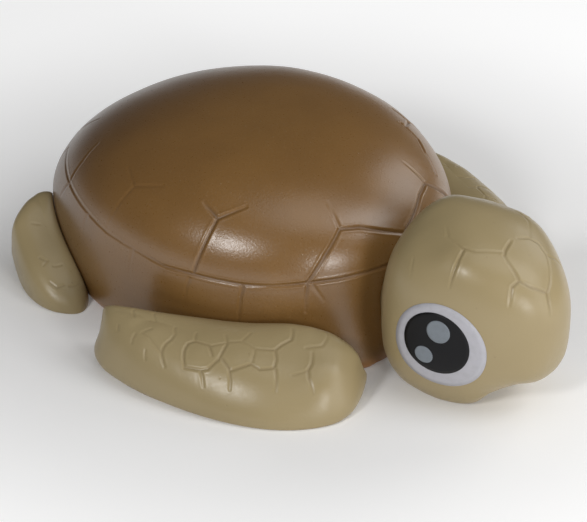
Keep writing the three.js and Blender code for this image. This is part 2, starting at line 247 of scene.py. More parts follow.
def press_strokes(piece, form, strokes, width, depth):
    """Presses strokes into the piece, with a soft lip on each side."""
    refine(piece, form, strokes, STROKE_REACH, STROKE_CUTS)
    points = read_points(piece)
    outward = read_points(piece, "normal")
    groove, lip = stroke_shares(points, form, strokes, width)
    press_points(piece, points + outward * (depth * (LIP_SHARE * lip - groove))[:, None])
    keep_shares(piece, "crease", groove)


def hand_over(piece, slot, *nodes):
    """Hands a piece over in place of its solids."""
    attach(piece, "root")
    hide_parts(*nodes)


carapace, ways = foam_ball("brown_carapace", SHELL_CUTS)
points = dome_form(ways)
base_share = np.clip(1 - points[:, 2] / BASE_EDGE_RADIUS, 0, 1)
turn_in = BASE_EDGE_RADIUS * (1 - np.sqrt(1 - base_share ** 2))
flat = points[:, :2] - np.array([0, SHELL_STATION])
flat_reach = np.maximum(np.linalg.norm(flat, axis=1), BASE_EDGE_RADIUS)
points[:, :2] -= flat * (turn_in / flat_reach)[:, None]
press_points(carapace, points)
seams = mirrored([MARGIN_SEAM] + SCUTE_SEAMS) + [FAR_SIDE_SEAM]
press_strokes(carapace, dome_form, seams, SEAM_WIDTH, SEAM_DEPTH)
swell_broad(carapace, dome_form, mirrored([CROWN_SWELL]), CROWN_SWELL_WIDTH, CROWN_SWELL_HEIGHT)

inside, ways = foam_ball("carapace_inside", INSIDE_CUTS)
press_points(inside, dome_form(ways, -SKIN))
carapace.select_set(True)
bpy.context.view_layer.objects.active = carapace
bpy.ops.object.join()
bpy.ops.object.mode_set(mode="EDIT")
bpy.ops.mesh.select_all(action="SELECT")
bpy.ops.mesh.bisect(plane_co=(0, 0, 0), plane_no=(0, 0, 1), clear_inner=True)

# The outer and the inner skin are open at the table. A ring of faces joins their edges.
bpy.ops.mesh.select_mode(type="EDGE")
bpy.ops.mesh.select_all(action="DESELECT")
bpy.ops.mesh.select_non_manifold(use_wire=False, use_multi_face=False, use_non_contiguous=False,
                                 use_verts=False)
bpy.ops.mesh.fill()
bpy.ops.mesh.select_all(action="SELECT")
bpy.ops.mesh.normals_make_consistent(inside=False)
bpy.ops.object.mode_set(mode="OBJECT")
bpy.ops.object.shade_smooth_by_angle(angle=SMOOTH_BELOW)


def colour(red, green, blue):
    """A colour as it is seen, in steps of 0 to 255, in the numbers that shaders take."""
    seen = np.array([red, green, blue]) / 255
    linear = np.where(seen > 0.04045, ((seen + 0.055) / 1.055) ** 2.4, seen / 12.92)
    return (*linear, 1)


class Wire:
    """A socket of a material, so that shader maths is written as Python."""

    def __init__(self, socket):
        self.socket = socket

    def node(self, kind, settings, inputs, output=0):
        """Adds a node with its settings and its sockets' values or links, and gives one output."""
        tree = self.socket.id_data
        added = tree.nodes.new(kind)
        for name, value in settings.items():
            setattr(added, name, value)
        for name, value in inputs.items():
            if isinstance(value, Wire):
                tree.links.new(value.socket, added.inputs[name])
            else:
                added.inputs[name].default_value = value
        return Wire(added.outputs[output])

    def maths(self, operation, first, second):
        return self.node("ShaderNodeMath", {"operation": operation}, {0: first, 1: second})

    def __add__(self, other):
        return self.maths("ADD", self, other)

    def __sub__(self, other):
        return self.maths("SUBTRACT", self, other)

    def __rsub__(self, other):
        return self.maths("SUBTRACT", other, self)

    def __mul__(self, other):
        return self.maths("MULTIPLY", self, other)

    __radd__ = __add__
    __rmul__ = __mul__

    def axis(self, number):
        """One coordinate: 0 across, 1 rearward and 2 up."""
        return self.node("ShaderNodeSeparateXYZ", {}, {"Vector": self}, number)

    def kept(self, name):
        """A share that was kept on the points of a piece."""
        return self.node("ShaderNodeAttribute", {"attribute_name": name}, {}, 2)

    def bump(self, strength, distance):
        """A surface normal that this height tilts."""
        return self.node("ShaderNodeBump", {}, {"Strength": strength, "Distance": distance, "Height": self})

    def between(self, low, high):
        """0 below low, 1 above high, and eased between them."""
        return self.node("ShaderNodeMapRange", {"interpolation_type": "SMOOTHSTEP"},
                         {"Value": self, "From Min": low, "From Max": high})

    def noise(self, scale, detail=2):
        """Uneven blotches over these coordinates, about 0.5 on the whole."""
        return self.node("ShaderNodeTexNoise", {}, {"Vector": self, "Scale": scale, "Detail": detail})

    def pinholes(self, scale):
        """Small scattered round spots over these coordinates, 1 in their middle."""
        apart = self.node("ShaderNodeTexVoronoi", {}, {"Vector": self, "Scale": scale})
        return 1 - apart.between(*PINHOLE_EDGE)

    def tint(self, share, under, over):
        """One colour over another by a share."""
        return self.node("ShaderNodeMix", {"data_type": "RGBA"}, {0: share, 6: under, 7: over}, 2)


def new_finish(name):
    """A material, its shader and the object coordinates that it reads."""
    material = bpy.data.materials.new(name)
    material.use_nodes = True
    nodes = material.node_tree.nodes
    shader = nodes["Principled BSDF"]
    place = Wire(nodes.new("ShaderNodeTexCoord").outputs["Object"])
    return material, shader, place


def feed(shader, **sockets):
    """Links what changes over the surface to the shader's sockets."""
    for name, wire in sockets.items():
        shader.id_data.links.new(wire.socket, shader.inputs[name.replace("_", " ")])


COAT_BROWN = colour(124, 90, 47)
COAT_WARM = colour(129, 94, 49)
COAT_SHADE = colour(78, 54, 33)
COAT_BASE_EDGE = colour(172, 116, 58)
COAT_PEARL_GLINT = colour(150, 128, 98)
COAT_GRAIN = 2600
COAT_MOTTLE = 95
COAT_PINHOLES = 340
PINHOLE_EDGE = (0.02, 0.08)
BASE_EDGE_BAND = (0.0004, 0.0026)
BASE_EDGE_WANDER = 0.002
BASE_EDGE_SHARE = 0.6
WARM_SPOTS = (0.35, 0.7)
REAR_SHADE_BAND = (0.004, 0.042)
REAR_SHADE_SHARE = 0.65
PEARL_SPECKS = (0.55, 0.8)
PEARL_SHARE = 0.2
IN_GROOVE = (0.1, 0.9)
CREASE_SHADE_SHARE = 0.35
CREASE_ROUGHNESS = 0.15
GRAIN_ROUGHNESS = 0.14
COAT_ROUGHNESS = 0.3
COAT_SHINE = 0.85
COAT_RELIEF = 0.00006

coat, shader, place = new_finish("brown_coat")
grain = place.noise(COAT_GRAIN, 3)
mottle = place.noise(COAT_MOTTLE, 3)
dusty = place.pinholes(COAT_PINHOLES)
# The coat turns lighter and more orange over its lowest few millimetres, along a wandering edge.
base_edge_share = 1 - (place.axis(2) + (mottle - 0.5) * BASE_EDGE_WANDER).between(*BASE_EDGE_BAND)
in_crease_share = place.kept("crease").between(*IN_GROOVE)
sprayed = place.tint(mottle.between(*WARM_SPOTS), COAT_BROWN, COAT_WARM)
# Painted shade: the coat grows darker towards the rear, where less light falls on it.
rear_shaded = place.tint(place.axis(1).between(*REAR_SHADE_BAND) * REAR_SHADE_SHARE, sprayed, COAT_SHADE)
# Lighter specks: dusty pinholes, and pearl flakes in the coat with a painted glint on each.
pearl_glint_specks = grain.between(*PEARL_SPECKS) * PEARL_SHARE + dusty * PEARL_SHARE
speckled = place.tint(pearl_glint_specks, rear_shaded, COAT_PEARL_GLINT)
# Painted shade: the coat is darkened in its seams.
crease_shaded = place.tint(in_crease_share * CREASE_SHADE_SHARE, speckled, COAT_SHADE)
feed(shader, Base_Color=place.tint(base_edge_share * BASE_EDGE_SHARE, crease_shaded, COAT_BASE_EDGE))
feed(shader, Roughness=COAT_ROUGHNESS + (grain - 0.5) * GRAIN_ROUGHNESS + in_crease_share * CREASE_ROUGHNESS)
feed(shader, Normal=(grain + mottle * 0.4 + dusty).bump(0.5, COAT_RELIEF))
shader.inputs["Specular IOR Level"].default_value = COAT_SHINE
carapace.data.materials.clear()
carapace.data.materials.append(coat)
hand_over(carapace, "brown_coat", "carapace")


# Foam core
# The inside of the casting is the same tan foam as the head and flippers. Only its flat underside shows,
# framed by the edge of the brown coat.
CORE_GAP = 0.0002
CORE_CUTS = 39
TABLE_ROUND = 0.0007


def eased_above(values, level, radius):
    """Lifts values to a level, with a rounded turn where they meet it."""
    past = np.clip(values - level + radius, 0, 2 * radius)
    return np.where(values > level + radius, values, level + past ** 2 / (4 * radius))


core, ways = foam_ball("foam_belly", CORE_CUTS)
points = dome_form(ways, -SKIN - CORE_GAP)
points[:, 2] = eased_above(points[:, 2], 0, TABLE_ROUND)
press_points(core, points)

FOAM_TAN = colour(158, 141, 104)
FOAM_PALE = colour(162, 145, 108)
FOAM_SHADE = colour(122, 104, 72)
OVERSPRAY_AND_SHADE = colour(118, 88, 56)
FOAM_GRAIN = 1500
FOAM_PATCHES = 70
FOAM_PINHOLES = 300
PALE_PATCHES = (0.3, 0.7)
FOAM_CREASE_SHADE = 0.3
FOAM_PIT_SHADE = 0.15
OVERSPRAY_AND_SHADE_SHARE = 0.7
PATCH_ROUGHNESS = 0.06
FOAM_ROUGHNESS = 0.31
FOAM_SHINE = 0.5
FOAM_RELIEF = 0.00005

foam, shader, place = new_finish("tan_foam")
skin_grain = place.noise(FOAM_GRAIN, 3)
patches = place.noise(FOAM_PATCHES, 2)
pits = place.pinholes(FOAM_PINHOLES)
in_crease_share = place.kept("crease").between(*IN_GROOVE)
# Brown near the carapace: overspray of the coat, and painted shade where the foam meets the flank.
misted_and_shaded = place.kept("overspray_and_shade") * (0.5 + patches)
tan = place.tint(patches.between(*PALE_PATCHES), FOAM_TAN, FOAM_PALE)
# Painted shade: the foam is darkened in its creases and pinholes.
wear_and_shade = place.tint(in_crease_share * FOAM_CREASE_SHADE + pits * FOAM_PIT_SHADE, tan, FOAM_SHADE)
feed(shader, Base_Color=place.tint(misted_and_shaded * OVERSPRAY_AND_SHADE_SHARE, wear_and_shade, OVERSPRAY_AND_SHADE))
feed(shader, Roughness=FOAM_ROUGHNESS + (skin_grain - 0.5) * GRAIN_ROUGHNESS + patches * PATCH_ROUGHNESS)
feed(shader, Normal=(skin_grain + patches * 0.5 - pits * 1.5).bump(0.35, FOAM_RELIEF))
shader.inputs["Specular IOR Level"].default_value = FOAM_SHINE
core.data.materials.append(foam)
hand_over(core, "tan_foam", "foam_core")


# Head
# A blunt swelling of the same foam in front of the carapace, with a short neck that runs into it.
# The mould leaves a few scale creases on the forehead and the snout.
HEAD_WIDTH = 0.0291
HEAD_LENGTH = 0.0342
HEAD_AHEAD = 0.0003
HEAD_TAPER = 0.3
HEAD_CROWN = 0.0337
HEAD_CROWN_FALL = 0.0037
HEAD_CHIN = -0.0019
HEAD_CHIN_RISE = 0.0042
SNOUT_SWELL = 0.0014
SNOUT_LIFT = 0.0007
HEAD_SQUARENESS = 2.44
NOSE_SQUARENESS = 2.25
NAPE_SQUARENESS = 2.21
NECK_WIDTH = 0.019
NECK_TALL = 0.025
NECK_REACH = 0.009
UNDERCUT = 0.0006
CONTACT_GAP = 0.00012
CONTACT_ROUND = 0.0006
CONTACT_REACH = 0.0016
HEAD_FALL = 0.03
OVERSPRAY_AND_SHADE_REACH = 0.0006
HEAD_CUTS = 79
HEAD_CREASE_WIDTH = 0.00028
HEAD_CREASE_DEPTH = 0.00016
FOREHEAD_CREASES = [
    [(8, 70, 0.5), (20, 67.5, 0.9), (31, 63.5, 1)],
    [(31, 63.5, 1), (36, 59, 0.8), (34.5, 54.5, 0.6), (31.5, 48.5, 0.7), (30, 42.5, 1)],
    [(30, 42.5, 1), (37.5, 38.5, 1), (42, 27, 0.2)],
    [(30, 42.5, 1), (22, 38.5, 1), (6.5, 33, 1)],
    [(6.5, 33, 1), (8.5, 26, 0.9), (9.5, 17, 0.2)],
    [(6.5, 33, 1), (-3, 37.5, 0.7), (-14, 42.5, 0.4), (-27, 48, 0.5), (-34, 56, 0.5), (-30, 63, 0.5),
     (-12, 69, 0.3)],
    [(-27, 48, 0.5), (-36, 40, 0.6), (-41, 28, 0.2)],
]
CHEEK_CREASES = [
    [(94.5, 59.5, 0.3), (82, 58, 0.8), (68.5, 58, 0.4), (54.5, 60.5, 0.3), (33, 61.5, 0.4)],
    [(80, 57, 0.8), (80, 47, 1), (81, 33, 0.2)],
    [(116.5, 37.5, 0.3), (111, 29.5, 0.2)],
    [(123.5, 63.5, 0.2), (108.5, 61, 0.4)],
    [(94.5, 59.5, 0.3), (110, 60, 0.2)],
]
# Each row of shaping is a stroke, its width, and how far it swells. Each row of lifts is some strokes,
# their width, and how far they rise.
HEAD_SHAPING = [
    ([(60, 43, 0.6), (72, 46, 1), (85, 49, 0.9), (95, 50, 0.3)], 0.0038, 0.0006),
    ([(20, -30, 0.8), (10, -35, 1), (-10, -35, 1), (-20, -30, 0.8)], 0.004, 0.0008),
    ([(66, -58, 1), (90, -57, 0.8), (108, -51, 0.3), (128, -33, 0.2)], 0.004, 0.0014),
    ([(121, -6, 0.5), (123, -20, 1), (118, -32, 0.7)], 0.0045, 0.0008),
]
HEAD_LIFTS = [
    ([[(46, -62, 0.6), (34, -61, 1), (20, -57, 1), (0, -58, 1)], [(40, -75, 0.8), (0, -75, 1)],
      [(40, -51, 0.6), (26, -48, 0.6)]], 0.0042, 0.0024),
    ([[(150, 52, 0.5), (139, 53, 1), (129, 53.5, 1), (118, 53, 0.9), (107, 49, 0.4)]], 0.005, -0.0011),
    ([[(158, 49, 0.5), (170, 48, 1), (180, 48, 1)]], 0.005, 0.0013),
]

NOSE = SHELL_STATION - SHELL_FRONT - HEAD_AHEAD - HEAD_LENGTH
HEAD_MIDDLE = NOSE + HEAD_LENGTH / 2


def swelling(along, others, squareness):
    """For ways along a piece and across it: the share of its length, of its swell, and the way round."""
    across = np.maximum(np.linalg.norm(others, axis=1), TINY)
    reach = (np.abs(along) ** squareness + across ** squareness) ** (1 / squareness)
    return along / reach, across / reach, others / across[:, None]


def squared(around, squareness):
    """Points of a rounded square of unit half width, the given ways round."""
    sizes = (np.abs(around) ** squareness).sum(axis=1) ** (1 / squareness)
    return around / np.maximum(sizes, TINY)[:, None]


def head_section(along):
    """Middle height, half width and half height of the head, before it swells, at a share of its length."""
    ahead = np.maximum(along, 0) ** 2
    top = HEAD_CROWN - HEAD_CROWN_FALL * along + SNOUT_SWELL * ahead
    bottom = HEAD_CHIN + HEAD_CHIN_RISE * along + SNOUT_LIFT * ahead
    return (top + bottom) / 2, HEAD_WIDTH / 2 * (1 - HEAD_TAPER * along), (top - bottom) / 2


def head_form(ways):
    squareness = np.where(ways[:, 1] < 0, NOSE_SQUARENESS, NAPE_SQUARENESS)
    along, swell, around = swelling(-ways[:, 1], ways[:, [0, 2]], squareness)
    middle, wide, high = head_section(along)
    section = squared(around, HEAD_SQUARENESS)
    return np.stack([
        wide * swell * section[:, 0],
        HEAD_MIDDLE - along * HEAD_LENGTH / 2,
        middle + high * swell * section[:, 1],
    ], axis=1)


def beyond_shell(points):
    """How far out of the carapace each point lies, level with the table, and the way out."""
    rise = points[:, 2] - RIM_HEIGHT
    share = cap(rise / np.where(rise > 0, CROWN_RISE, CURL_DEPTH), DOME_SQUARENESS)
    lean = CROWN_LEAN * np.maximum(rise / CROWN_RISE, 0) ** 2
    flat = points[:, :2] - np.stack([0 * lean, SHELL_STATION - lean], axis=1)
    ahead = flat[:, 1] < 0
    squareness = np.where(ahead, FRONT_PLAN_SQUARENESS, REAR_PLAN_SQUARENESS)
    across = np.abs(flat[:, 0] / (SHELL_WIDTH / 2))
    along = np.abs(flat[:, 1] / np.where(ahead, SHELL_FRONT, SHELL_REAR))
    plan = (across ** squareness + along ** squareness) ** (1 / squareness)
    reach = np.linalg.norm(flat, axis=1)
    apart = reach * (1 - share / np.maximum(plan, TINY)) - stand_out(flat, points[:, 2])
    return apart, flat / np.maximum(reach, TINY)[:, None]


def settle(piece, points, fall):
    """Sets a foam piece on the table and against the flank of the carapace, and keeps a share for its
    overspray and the painted shade where it meets the flank.

    Where it meets the flank it sinks by a share of its height.
    """
    apart, outward = beyond_shell(points)
    eased = eased_above(apart, CONTACT_GAP, CONTACT_ROUND)
    points[:, :2] += outward * (eased - apart)[:, None]
    points[:, 2] *= 1 - fall * np.clip(1 - eased / CONTACT_REACH, 0, 1) ** 2
    points[:, 2] = eased_above(points[:, 2], 0, TABLE_ROUND)
    press_points(piece, points)
    keep_shares(piece, "overspray_and_shade", np.exp(-np.maximum(apart, 0) / OVERSPRAY_AND_SHADE_REACH))


head, ways = foam_ball("foam_head", HEAD_CUTS)
press_points(head, head_form(ways))
head_creases = FOREHEAD_CREASES + mirrored(CHEEK_CREASES)
press_strokes(head, head_form, head_creases, HEAD_CREASE_WIDTH, HEAD_CREASE_DEPTH)
for stroke, width, swell in HEAD_SHAPING:
    swell_broad(head, head_form, mirrored([stroke]), width, swell)
for strokes, width, lift in HEAD_LIFTS:
    push_broad(head, head_form, mirrored(strokes), width, (0, 0, lift))
points = read_points(head)
neck_across = points[:, 0] / (NECK_WIDTH / 2)
neck_up = (points[:, 2] - NECK_TALL / 2 + UNDERCUT) / (NECK_TALL / 2)
in_neck = np.clip(1 - (neck_across ** 2 + neck_up ** 2), 0, 1)
neck_back = SHELL_STATION - SHELL_FRONT + NECK_REACH * np.sqrt(in_neck)
neck_ease = in_neck * (points[:, 1] > HEAD_MIDDLE)
neck_ease = neck_ease * neck_ease * (3 - 2 * neck_ease)
points[:, 1] += np.maximum(neck_back - points[:, 1], 0) * neck_ease
settle(head, points, HEAD_FALL)
head.data.materials.append(foam)
hand_over(head, "tan_foam", "head")


# Eyes
# Four pad-printed layers on each side of the head: a white round, a black pupil over it, and two grey
# glints on the pupil. Each layer is a thin film that follows the foam.
EYE_SETBACK = 0.0155
EYE_HEIGHT = 0.0141
EYE_FACING = math.radians(9.7)
WHITE_DIAMETER = 0.0171
PUPIL_DIAMETER = 0.0124
PUPIL_BACK = 0.0005
PUPIL_RISE = 0.0006
LARGE_GLINT_DIAMETER = 0.0044
LARGE_GLINT_AHEAD = 0.0005
LARGE_GLINT_RISE = 0.0027
SMALL_GLINT_DIAMETER = 0.0035
SMALL_GLINT_BACK = 0.0022
SMALL_GLINT_DROP = 0.0028
INK_FILM = 0.00006
INK_CLEARANCE = 0.3
INK_UNEVEN = 900
INK_GRAIN = 1500
INK_RELIEF = 0.00004
INK_WORN = (0.4, 0.8)
INK_ROUGHENING = 0.2
INK_SHINE = 0.25
PRINT_SIDES = 72
PRINT_RINGS = 9
SEARCH_REACH = 0.012
SEARCH_STEPS = 40


def outside_head(points):
    """True where points lie outside the head's form."""
    along = (HEAD_MIDDLE - points[:, 1]) / (HEAD_LENGTH / 2)
    squareness = np.where(along > 0, NOSE_SQUARENESS, NAPE_SQUARENESS)
    swell = np.maximum(cap(along, squareness), TINY)
    middle, wide, high = head_section(along)
    across = np.abs(points[:, 0] / (wide * swell))
    rise = np.abs((points[:, 2] - middle) / (high * swell))
    return across ** HEAD_SQUARENESS + rise ** HEAD_SQUARENESS > 1


def onto_head(points, facing):
    """Moves points along the way that the eye looks, to the head's surface."""
    low = np.full(len(points), -SEARCH_REACH)
    high = np.full(len(points), SEARCH_REACH)
    for _ in range(SEARCH_STEPS):
        half = (low + high) / 2
        out = outside_head(points + half[:, None] * facing)
        high = np.where(out, half, high)
        low = np.where(out, low, half)
    return points + high[:, None] * facing


EYE_ALONG = 1 - EYE_SETBACK / (HEAD_LENGTH / 2)
eye_middle, eye_wide, eye_high = head_section(EYE_ALONG)
eye_swell = cap(EYE_ALONG, NOSE_SQUARENESS)
EYE_BESIDE = eye_wide * eye_swell * cap((EYE_HEIGHT - eye_middle) / (eye_high * eye_swell), HEAD_SQUARENESS)


def ink_print(name, side, level, diameter, middle, ink, slot, node):
    """One printed layer: a round of film on the side of the head, on top of the layers under it."""
    facing = np.array([side * math.cos(EYE_FACING), -math.sin(EYE_FACING), 0])
    rearward = np.array([side * math.sin(EYE_FACING), math.cos(EYE_FACING), 0])
    bpy.ops.object.select_all(action="DESELECT")
    bpy.ops.mesh.primitive_circle_add(vertices=PRINT_SIDES, radius=diameter / 2, fill_type="NGON")
    film = bpy.context.object
    film.name = name
    bpy.ops.object.mode_set(mode="EDIT")
    bpy.ops.mesh.select_all(action="SELECT")
    for _ in range(PRINT_RINGS - 1):
        bpy.ops.mesh.inset(thickness=diameter / 2 / PRINT_RINGS)
    bpy.ops.mesh.poke()
    bpy.ops.object.mode_set(mode="OBJECT")
    bpy.ops.object.shade_smooth()
    flat = read_points(film)
    back, rise = middle
    sheet = np.outer(side * flat[:, 0] + back, rearward) + np.outer(flat[:, 1] + rise, [0, 0, 1])
    eye = np.array([side * EYE_BESIDE, NOSE + EYE_SETBACK, EYE_HEIGHT])
    press_points(film, onto_head(sheet + eye, facing))
    wrap = film.modifiers.new("laid", "SHRINKWRAP")
    wrap.target = head
    wrap.wrap_mode = "ABOVE_SURFACE"
    wrap.offset = (level + INK_CLEARANCE) * INK_FILM
    bpy.ops.object.modifier_apply(modifier=wrap.name)
    solid = film.modifiers.new("film", "SOLIDIFY")
    solid.thickness = INK_FILM
    solid.offset = 1
    bpy.ops.object.modifier_apply(modifier=solid.name)
    film.data.materials.append(ink)
    hand_over(film, slot, node)


def ink_finish(name, full, wear_and_shade, roughness):
    """A printed ink, with a faint unevenness where the pad laid it thinner."""
    ink, shader, place = new_finish(name)
    uneven = place.noise(INK_UNEVEN, 3)
    feed(shader, Base_Color=place.tint(uneven.between(*INK_WORN), full, wear_and_shade))
    feed(shader, Roughness=roughness + (uneven - 0.5) * INK_ROUGHENING)
    feed(shader, Normal=place.noise(INK_GRAIN, 3).bump(0.2, INK_RELIEF))
    shader.inputs["Specular IOR Level"].default_value = INK_SHINE
    return ink


white_ink = ink_finish("white_ink", colour(182, 181, 187), colour(176, 175, 180), 0.42)
black_ink = ink_finish("black_ink", colour(14, 14, 17), colour(18, 18, 21), 0.5)
grey_ink = ink_finish("grey_ink", colour(126, 133, 140), colour(120, 126, 132), 0.42)
LARGE_GLINT = (PUPIL_BACK - LARGE_GLINT_AHEAD, PUPIL_RISE + LARGE_GLINT_RISE)
SMALL_GLINT = (PUPIL_BACK + SMALL_GLINT_BACK, PUPIL_RISE - SMALL_GLINT_DROP)

# Each print has its layer, the node that it replaces, its level, its size, its middle and its ink.
PRINTS = [
    ("white", "eye_white", 0, WHITE_DIAMETER, (0, 0), white_ink, "white_ink"),
    ("pupil", "pupil", 1, PUPIL_DIAMETER, (PUPIL_BACK, PUPIL_RISE), black_ink, "black_ink"),
    ("large_glint", "large_glint", 2, LARGE_GLINT_DIAMETER, LARGE_GLINT, grey_ink, "grey_ink"),
    ("small_glint", "small_glint", 2, SMALL_GLINT_DIAMETER, SMALL_GLINT, grey_ink, "grey_ink"),
]
for side, hand in ((-1, "right"), (1, "left")):
    for layer, node, level, diameter, middle, ink, slot in PRINTS:
        ink_print(f"{hand}_{layer}_print", side, level, diameter, middle, ink, slot, f"{hand}_{node}")


# Front flippers
# Long tapering paddles of the same foam, swept back along the flanks, with a row of scale creases on top.
# They are cast in one with the body, and their inner side runs into the flank.
FRONT_LENGTH = 0.0494
FRONT_WIDTH = 0.0227
FRONT_THICKNESS = 0.0115
FRONT_TURN = 57.6
FRONT_STANDOFF = 0.0041
FRONT_SWEEP = 27.5
FRONT_TILT = 26
FRONT_TAPER = 0.36
FRONT_BOW = 0.0052
FRONT_THICKENING = 0.07
ROOT_TUCK = 0.005
FRONT_SQUARENESS = 2
FRONT_OUTER_END = 3.52
FRONT_INNER_END = 1.38
FRONT_BLUNTNESS = 4.5
FLIPPER_CUTS = 79
FLIPPER_CREASE_WIDTH = 0.00028
FLIPPER_CREASE_DEPTH = 0.00012
PILLOW_WIDTH = 0.0014
PILLOW_DEPTH = 0.00004
RIM_STEP = 0.05
FRONT_FALL = 0.12
FRONT_CREASES = [
    [(117, 47.5, 0.5), (121, 51, 0.8), (130.5, 57.5, 0.8), (142.5, 64.5, 0.9), (159, 70.5, 0.8),
     (-177, 72.5, 0.5), (-146, 67, 0.5)],
    [(117.5, 65.5, 1), (128.5, 71.5, 1), (150, 77.5, 1), (168.5, 81.5, 1), (119, 86, 1),
     (94, 81.5, 0.9), (86.5, 76, 0.7)],
    [(168.5, 81.5, 0.6), (-131, 76, 0.5)],
    [(117.5, 65.5, 1), (107, 56, 0.9), (95, 59, 1), (92, 53.5, 0.7), (90, 45, 0.5)],
    [(95, 59, 0.9), (89, 62, 1), (76.5, 73, 1), (28.5, 84.5, 0.9), (-37, 83.5, 0.7), (-78.5, 74, 0.5)],
    [(109.5, 85.5, 0.6), (-7.5, 87.5, 0.5), (-38.5, 84, 0.6)],
    [(71.5, 73.5, 0.9), (68, 65, 1), (71, 55.5, 0.7), (73.5, 47, 0.5)],
    [(68, 63, 1), (41, 67, 1), (41, 61.5, 1), (30.5, 59, 1), (15.5, 62.5, 0.8), (-3.5, 65, 0.9)],
    [(-46, 83, 0.5), (-39.5, 76, 0.5), (-61, 63, 0.5)],
    [(-39.5, 76, 0.5), (-4.5, 73, 0.5), (-4, 65, 0.8), (-18, 61, 1), (-25.5, 55, 1), (-43.5, 44, 0.5)],
    [(31, 58, 0.9), (37.5, 54, 0.8), (48.5, 44, 0.5)],
    [(40, 67, 0.5), (-4.5, 73, 0.5)],
    [(1.5, 49, 0.5), (14, 47.5, 0.9), (22, 46.5, 1), (28.5, 42.5, 0.9), (35.5, 34, 0.5)],
    [(-29, 25.5, 0.5), (-7.5, 43.5, 0.6), (-7, 51.5, 0.5)],
    [(22, 46.5, 0.5), (30, 50, 0.5)],
    [(154, 52, 0.6), (143, 46, 0.5)],
    [(175, 62, 0.5), (159, 56.5, 0.5), (153, 59, 0.5)],
    [(134.5, 49.5, 0.5), (127.5, 43, 0.5)],
    [(-155, 41, 0.5), (-170, 50.5, 0.5)],
    [(-140.5, 46.5, 0.5), (-154, 58, 0.5)],
    [(163.5, 44, 0.5), (156.5, 42.5, 0.5)],
    [(153, 59, 0.5), (130.5, 57.5, 0.5)],
]
# Each row of shaping is a stroke, its width, and how far it is pushed across, rearward and up.
FRONT_SHAPING = [
    ([(-120, 32, 0.3), (-135, 32, 0.6), (-150, 28, 0.9), (-163, 25, 1), (-175, 22, 1), (-180, 44, 0.8),
      (172, 49, 0.8), (159, 49, 0.75), (150, 54, 0.75), (140, 56, 0.5), (128, 55, 0.3)],
     0.005, (0, 0, 0.0017)),
    ([(-172, 16, 0.6), (177, 15, 1), (169, 15, 1), (163, 11, 0.5)], 0.004, (0.0009, -0.0009, 0)),
    ([(152, 3, 0.6), (147, -3.5, 0.9), (142, -6.5, 1), (136, -9, 1), (130, -11, 0.7), (118, -10, 0.3)],
     0.004, (-0.0011, 0.0008, 0)),
    ([(43, 1, 0.3), (36, -6, 0.8), (27, -8, 1), (16.5, -14, 1), (6, -15.5, 0.9), (-1.5, -5, 0.4)],
     0.004, (0.0006, -0.0015, 0)),
    ([(-60, 22, 0.4), (-50, 25, 0.8), (-40, 24, 1), (-31, 22, 1), (-22, 20.5, 0.6)],
     0.0045, (0, 0, 0.0013)),
    ([(-100, 25, 0.4), (-90, 23, 1), (-81, 24, 0.8), (-73, 21, 0.4)], 0.004, (0, 0, -0.0007)),
    ([(120, 62, 0.5), (100, 68, 1), (65, 68, 1), (47, 57, 0.9), (30, 45, 0.7)], 0.0055, (0, 0, 0.001)),
    ([(8, 38, 0.7), (16, 36, 1), (24, 34, 0.9)], 0.0045, (-0.0002, -0.0007, 0.0012)),
]


def rim_place(turn):
    """The carapace's widest point at a turn from the nose, and the way out of it, level with the table."""
    def at(angle):
        sine, along = math.sin(math.radians(angle)), -math.cos(math.radians(angle))
        length = SHELL_FRONT if along < 0 else SHELL_REAR
        easing = 2 / (FRONT_PLAN_SQUARENESS if along < 0 else REAR_PLAN_SQUARENESS)
        return np.array([
            -SHELL_WIDTH / 2 * math.copysign(abs(sine) ** easing, sine),
            SHELL_STATION + length * math.copysign(abs(along) ** easing, along),
        ])
    around = at(turn + RIM_STEP) - at(turn - RIM_STEP)
    outward = np.array([-around[1], around[0]])
    return at(turn), outward / np.linalg.norm(outward)


def turned(first, second, angle):
    """Two coordinates turned about the third, by an angle in degrees."""
    cosine, sine = math.cos(math.radians(angle)), math.sin(math.radians(angle))
    return first * cosine - second * sine, first * sine + second * cosine


def flipper_form(ways, length, width, thickness, turn, standoff, sweep, tilt, taper, thickening, bow,
                 squareness, bluntness, ends):
    """A flattened, tapering swelling that leans out from the rim and is swept along the flank."""
    section = squared(ways[:, [0, 2]], squareness)
    inward = 0.5 + 0.5 * np.sign(section[:, 0]) * np.abs(section[:, 0]) ** (squareness / 2)
    outer_end, inner_end = ends
    end_squareness = outer_end + (inner_end - outer_end) * inward
    along, swell, _ = swelling(ways[:, 1], ways[:, [0, 2]], end_squareness)
    wide = np.where(section[:, 0] > 0, standoff + ROOT_TUCK, width / 2)
    across = wide * swell * (1 - taper * along) * section[:, 0]
    rise = thickness / 2 * cap(along, bluntness) * (1 + thickening * along) * section[:, 1]
    across, rise = turned(across, rise, tilt)
    across = across + bow * (along ** 2 - 0.5)
    across, ahead = turned(across, length / 2 * along, sweep)
    rim, outward = rim_place(turn)
    root = rim + outward * standoff
    return np.stack([root[0] + across, root[1] + ahead, rise + thickness / 2 - UNDERCUT], axis=1)


def front_form(ways):
    return flipper_form(ways, FRONT_LENGTH, FRONT_WIDTH, FRONT_THICKNESS, FRONT_TURN, FRONT_STANDOFF,
                        FRONT_SWEEP, FRONT_TILT, FRONT_TAPER, FRONT_THICKENING, FRONT_BOW, FRONT_SQUARENESS,
                        FRONT_BLUNTNESS, (FRONT_OUTER_END, FRONT_INNER_END))


